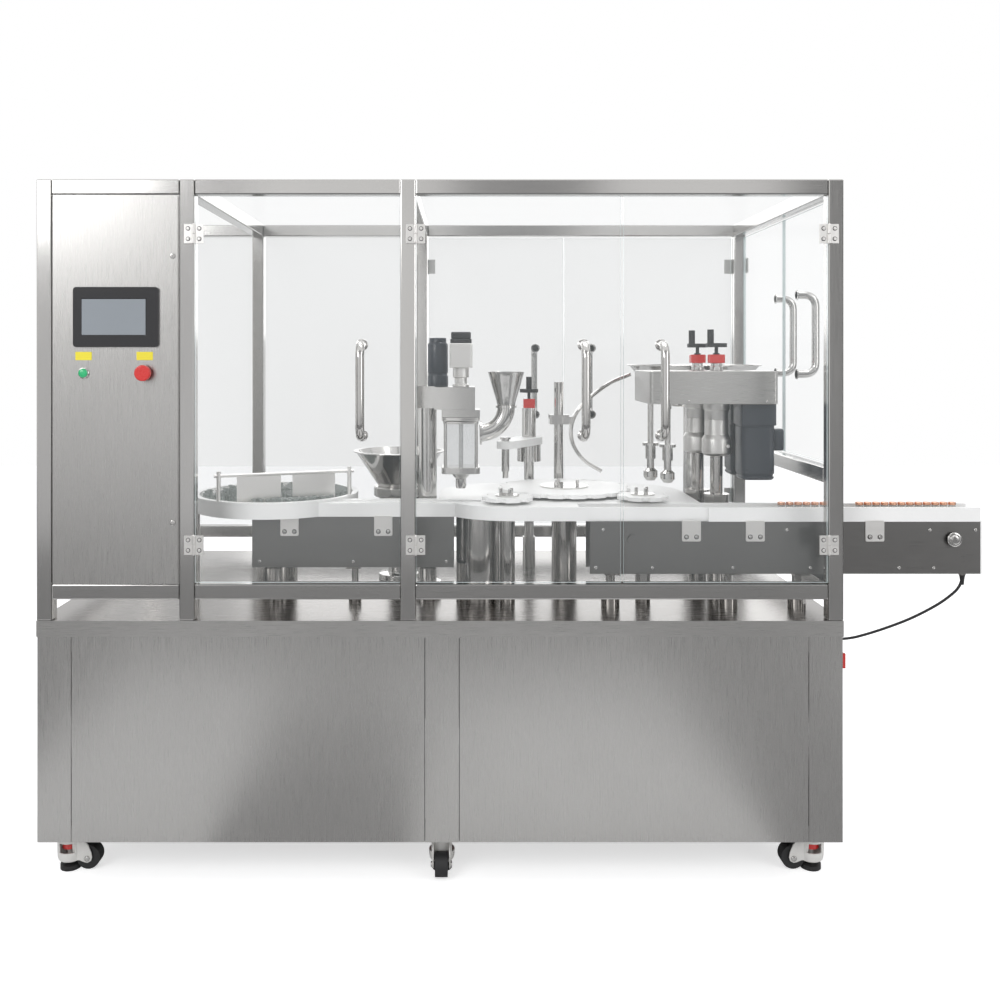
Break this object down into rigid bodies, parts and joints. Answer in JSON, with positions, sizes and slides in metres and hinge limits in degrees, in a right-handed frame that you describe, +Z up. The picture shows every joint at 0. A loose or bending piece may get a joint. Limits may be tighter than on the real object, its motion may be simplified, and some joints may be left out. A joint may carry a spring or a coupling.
{
  "type": "powder filling machine",
  "caption": "Enclosed powder filling, stoppering and capping line for small vials, with unscrambling turntable, star wheels, outfeed conveyor, glazed doors and a control panel.",
  "frame": {"origin": "middle of the machine's whole length and depth, on the floor under it", "axes": "+X to the outfeed end (right from the front), +Y to the back, +Z up; the control panel faces -Y"},
  "size_m": [2.41, 1.0324, 1.76],
  "materials": {
    "frame_steel": "polished square tube with fine long scratches",
    "sheet_steel": "satin brushed sheet",
    "deck_steel": "brushed plate",
    "bright_steel": "turned and polished, mirror bright in places",
    "chain_steel": "rolled flat links, lightly scratched",
    "clear_pane": "clear sheet with polished edges",
    "white_plastic": "milled sheet with a fine machined grain",
    "black_plastic": "moulded, fine grain",
    "red_plastic": "moulded, glossy",
    "screen": "smooth, unlit display",
    "motor_paint": "dark blue-grey paint",
    "caster_cast": "off-white coat on cast metal",
    "caster_tyre": "hard black tyre",
    "foot_rubber": "black levelling pad",
    "yellow_plate": "thin blank plate",
    "green_lens": "clear green lens",
    "cable_jacket": "smooth black jacket"
  },
  "bodies": {
    "machine": {"base_frame": "frame_steel", "base_panels": "sheet_steel", "deck_plate": "deck_steel", "caster_mounts": "foot_rubber", "enclosure_frame": "frame_steel", "fixed_windows": "clear_pane", "control_box": "sheet_steel", "turntable_rim": "white_plastic", "table_plate": "white_plastic", "table_supports": "bright_steel", "conveyor_sides": "sheet_steel", "guide_rails": "white_plastic", "conveyor_chain": "chain_steel", "filler_stand": "bright_steel", "filler_motors": "bright_steel", "powder_hopper": "bright_steel", "filling_funnel": "bright_steel", "feeder_bowls": "bright_steel", "cap_chute": "bright_steel", "stopper_stand": "bright_steel", "conveyor_cable": "cable_jacket"},
    "caster_1": {"caster_body_1": "caster_cast"},
    "wheel_1": {"caster_wheel_1": "caster_tyre"},
    "caster_2": {"caster_body_2": "caster_cast"},
    "wheel_2": {"caster_wheel_2": "caster_tyre"},
    "caster_3": {"caster_body_3": "caster_cast"},
    "wheel_3": {"caster_wheel_3": "caster_tyre"},
    "caster_4": {"caster_body_4": "caster_cast"},
    "wheel_4": {"caster_wheel_4": "caster_tyre"},
    "caster_5": {"caster_body_5": "caster_cast"},
    "wheel_5": {"caster_wheel_5": "caster_tyre"},
    "caster_6": {"caster_body_6": "caster_cast"},
    "wheel_6": {"caster_wheel_6": "caster_tyre"},
    "front_door_left": {"front_door_left": "clear_pane"},
    "front_door_middle": {"front_door_middle": "clear_pane"},
    "front_door_right": {"front_door_right": "clear_pane"},
    "rear_door_inner": {"rear_door_inner": "clear_pane"},
    "rear_door_outer": {"rear_door_outer": "clear_pane"},
    "side_door_front": {"side_door_front": "clear_pane"},
    "side_door_rear": {"side_door_rear": "clear_pane"},
    "control_door": {"control_door": "sheet_steel", "door_fittings": "black_plastic", "screen_glass": "screen"},
    "stop_button": {"stop_button": "red_plastic"},
    "main_switch": {"main_switch": "red_plastic"},
    "turntable": {"turntable_disc": "bright_steel"},
    "star_main": {"star_wheel_main": "white_plastic"},
    "star_infeed": {"star_wheel_infeed": "white_plastic"},
    "star_outfeed": {"star_wheel_outfeed": "white_plastic"},
    "end_roller": {"end_roller": "black_plastic"},
    "drive_roller": {"drive_roller": "black_plastic"},
    "auger": {"auger": "bright_steel"},
    "stopper_plunger": {"stopper_plunger": "bright_steel"},
    "stopper_knob": {"stopper_knob": "black_plastic"},
    "capper_head": {"capper_head": "deck_steel", "capper_motors": "motor_paint"},
    "capper_knob_1": {"capper_knob_1": "black_plastic"},
    "capper_knob_2": {"capper_knob_2": "black_plastic"},
    "capping_spindle_1": {"capping_spindle_1": "bright_steel"},
    "capping_spindle_2": {"capping_spindle_2": "bright_steel"}
  },
  "joints": [
    {"name": "caster_swivel_1", "type": "hinge", "parent": "machine", "child": "caster_1", "pos_m": [-1.149, -0.37, 0.07], "axis": [0, 0, 1], "continuous": true},
    {"name": "caster_roll_1", "type": "hinge", "parent": "caster_1", "child": "wheel_1", "pos_m": [-1.099, -0.37, 0.032], "axis": [0, 1, 0], "continuous": true},
    {"name": "caster_swivel_2", "type": "hinge", "parent": "machine", "child": "caster_2", "pos_m": [-0.192, -0.37, 0.07], "axis": [0, 0, 1], "continuous": true},
    {"name": "caster_roll_2", "type": "hinge", "parent": "caster_2", "child": "wheel_2", "pos_m": [-0.192, -0.42, 0.032], "axis": [1, 0, 0], "continuous": true},
    {"name": "caster_swivel_3", "type": "hinge", "parent": "machine", "child": "caster_3", "pos_m": [0.759, -0.37, 0.07], "axis": [0, 0, 1], "continuous": true},
    {"name": "caster_roll_3", "type": "hinge", "parent": "caster_3", "child": "wheel_3", "pos_m": [0.709, -0.37, 0.032], "axis": [0, 1, 0], "continuous": true},
    {"name": "caster_swivel_4", "type": "hinge", "parent": "machine", "child": "caster_4", "pos_m": [-1.149, 0.37, 0.07], "axis": [0, 0, 1], "continuous": true},
    {"name": "caster_roll_4", "type": "hinge", "parent": "caster_4", "child": "wheel_4", "pos_m": [-1.099, 0.37, 0.032], "axis": [0, 1, 0], "continuous": true},
    {"name": "caster_swivel_5", "type": "hinge", "parent": "machine", "child": "caster_5", "pos_m": [-0.192, 0.37, 0.07], "axis": [0, 0, 1], "continuous": true},
    {"name": "caster_roll_5", "type": "hinge", "parent": "caster_5", "child": "wheel_5", "pos_m": [-0.192, 0.42, 0.032], "axis": [1, 0, 0], "continuous": true},
    {"name": "caster_swivel_6", "type": "hinge", "parent": "machine", "child": "caster_6", "pos_m": [0.759, 0.37, 0.07], "axis": [0, 0, 1], "continuous": true},
    {"name": "caster_roll_6", "type": "hinge", "parent": "caster_6", "child": "wheel_6", "pos_m": [0.709, 0.37, 0.032], "axis": [0, 1, 0], "continuous": true},
    {"name": "front_door_left_hinge", "type": "hinge", "parent": "machine", "child": "front_door_left", "pos_m": [-0.81, -0.4545, 1.234], "axis": [0, 0, -1], "range_deg": [0, 110]},
    {"name": "front_door_middle_hinge", "type": "hinge", "parent": "machine", "child": "front_door_middle", "pos_m": [-0.256, -0.4545, 1.234], "axis": [0, 0, -1], "range_deg": [0, 110]},
    {"name": "front_door_right_hinge", "type": "hinge", "parent": "machine", "child": "front_door_right", "pos_m": [0.777, -0.4545, 1.234], "axis": [0, 0, 1], "range_deg": [0, 110]},
    {"name": "rear_door_inner_hinge", "type": "hinge", "parent": "machine", "child": "rear_door_inner", "pos_m": [-0.256, 0.4545, 1.234], "axis": [0, 0, 1], "range_deg": [0, 100]},
    {"name": "rear_door_outer_hinge", "type": "hinge", "parent": "machine", "child": "rear_door_outer", "pos_m": [0.777, 0.4545, 1.234], "axis": [0, 0, -1], "range_deg": [0, 100]},
    {"name": "side_door_front_hinge", "type": "hinge", "parent": "machine", "child": "side_door_front", "pos_m": [0.8195, -0.412, 1.234], "axis": [0, 0, -1], "range_deg": [0, 100]},
    {"name": "side_door_rear_hinge", "type": "hinge", "parent": "machine", "child": "side_door_rear", "pos_m": [0.8195, 0.412, 1.234], "axis": [0, 0, 1], "range_deg": [0, 100]},
    {"name": "control_door_hinge", "type": "hinge", "parent": "machine", "child": "control_door", "pos_m": [-1.1637, -0.448, 1.234], "axis": [0, 0, -1], "range_deg": [0, 100]},
    {"name": "stop_button_push", "type": "slide", "parent": "control_door", "child": "stop_button", "axis": [0, 1, 0], "range_m": [0, 0.005]},
    {"name": "main_switch_turn", "type": "hinge", "parent": "machine", "child": "main_switch", "pos_m": [0.815, -0.388, 0.537], "axis": [1, 0, 0], "range_deg": [0, 90]},
    {"name": "turntable_spin", "type": "hinge", "parent": "machine", "child": "turntable", "pos_m": [-0.667, -0.105, 0.88], "axis": [0, 0, 1], "continuous": true},
    {"name": "star_main_spin", "type": "hinge", "parent": "machine", "child": "star_main", "pos_m": [0.153, -0.079, 0.88], "axis": [0, 0, 1], "continuous": true},
    {"name": "star_infeed_spin", "type": "hinge", "parent": "machine", "child": "star_infeed", "pos_m": [-0.01843, -0.27448, 0.88], "axis": [0, 0, 1], "continuous": true},
    {"name": "star_outfeed_spin", "type": "hinge", "parent": "machine", "child": "star_outfeed", "pos_m": [0.34773, -0.25128, 0.88], "axis": [0, 0, 1], "continuous": true},
    {"name": "end_roller_spin", "type": "hinge", "parent": "machine", "child": "end_roller", "pos_m": [1.13, -0.32, 0.844], "axis": [0, 1, 0], "continuous": true},
    {"name": "drive_roller_spin", "type": "hinge", "parent": "machine", "child": "drive_roller", "pos_m": [0.3, -0.32, 0.844], "axis": [0, 1, 0], "continuous": true},
    {"name": "auger_spin", "type": "hinge", "parent": "machine", "child": "auger", "pos_m": [-0.143, -0.225, 1.1], "axis": [0, 0, 1], "continuous": true},
    {"name": "stopper_plunger_slide", "type": "slide", "parent": "machine", "child": "stopper_plunger", "axis": [0, 0, 1], "range_m": [0, 0.02]},
    {"name": "stopper_knob_turn", "type": "hinge", "parent": "machine", "child": "stopper_knob", "pos_m": [0.069, 0.175, 1.184], "axis": [0, 0, 1], "range_deg": [0, 1080]},
    {"name": "capper_lift", "type": "slide", "parent": "machine", "child": "capper_head", "axis": [0, 0, 1], "range_m": [0, 0.03]},
    {"name": "capper_knob_1_turn", "type": "hinge", "parent": "capper_head", "child": "capper_knob_1", "pos_m": [0.565, -0.18, 1.322], "axis": [0, 0, 1], "range_deg": [0, 1080]},
    {"name": "capper_knob_2_turn", "type": "hinge", "parent": "capper_head", "child": "capper_knob_2", "pos_m": [0.535, -0.085, 1.322], "axis": [0, 0, 1], "range_deg": [0, 1080]},
    {"name": "capping_spindle_1_spin", "type": "hinge", "parent": "capper_head", "child": "capping_spindle_1", "pos_m": [0.38059, -0.18948, 1.1], "axis": [0, 0, 1], "continuous": true},
    {"name": "capping_spindle_2_spin", "type": "hinge", "parent": "capper_head", "child": "capping_spindle_2", "pos_m": [0.41705, -0.24154, 1.1], "axis": [0, 0, 1], "continuous": true}
  ],
  "couplings": [
    {"joint": "star_infeed_spin", "follows": "star_main_spin", "ratio": -2.7143},
    {"joint": "star_outfeed_spin", "follows": "star_main_spin", "ratio": -2.7143},
    {"joint": "drive_roller_spin", "follows": "end_roller_spin", "ratio": 1},
    {"joint": "stopper_knob_turn", "follows": "stopper_plunger_slide", "rad_per_m": 942.4},
    {"joint": "capper_knob_1_turn", "follows": "capper_lift", "rad_per_m": 628.3},
    {"joint": "capper_knob_2_turn", "follows": "capper_lift", "rad_per_m": 628.3},
    {"joint": "capping_spindle_2_spin", "follows": "capping_spindle_1_spin", "ratio": 1}
  ]
}
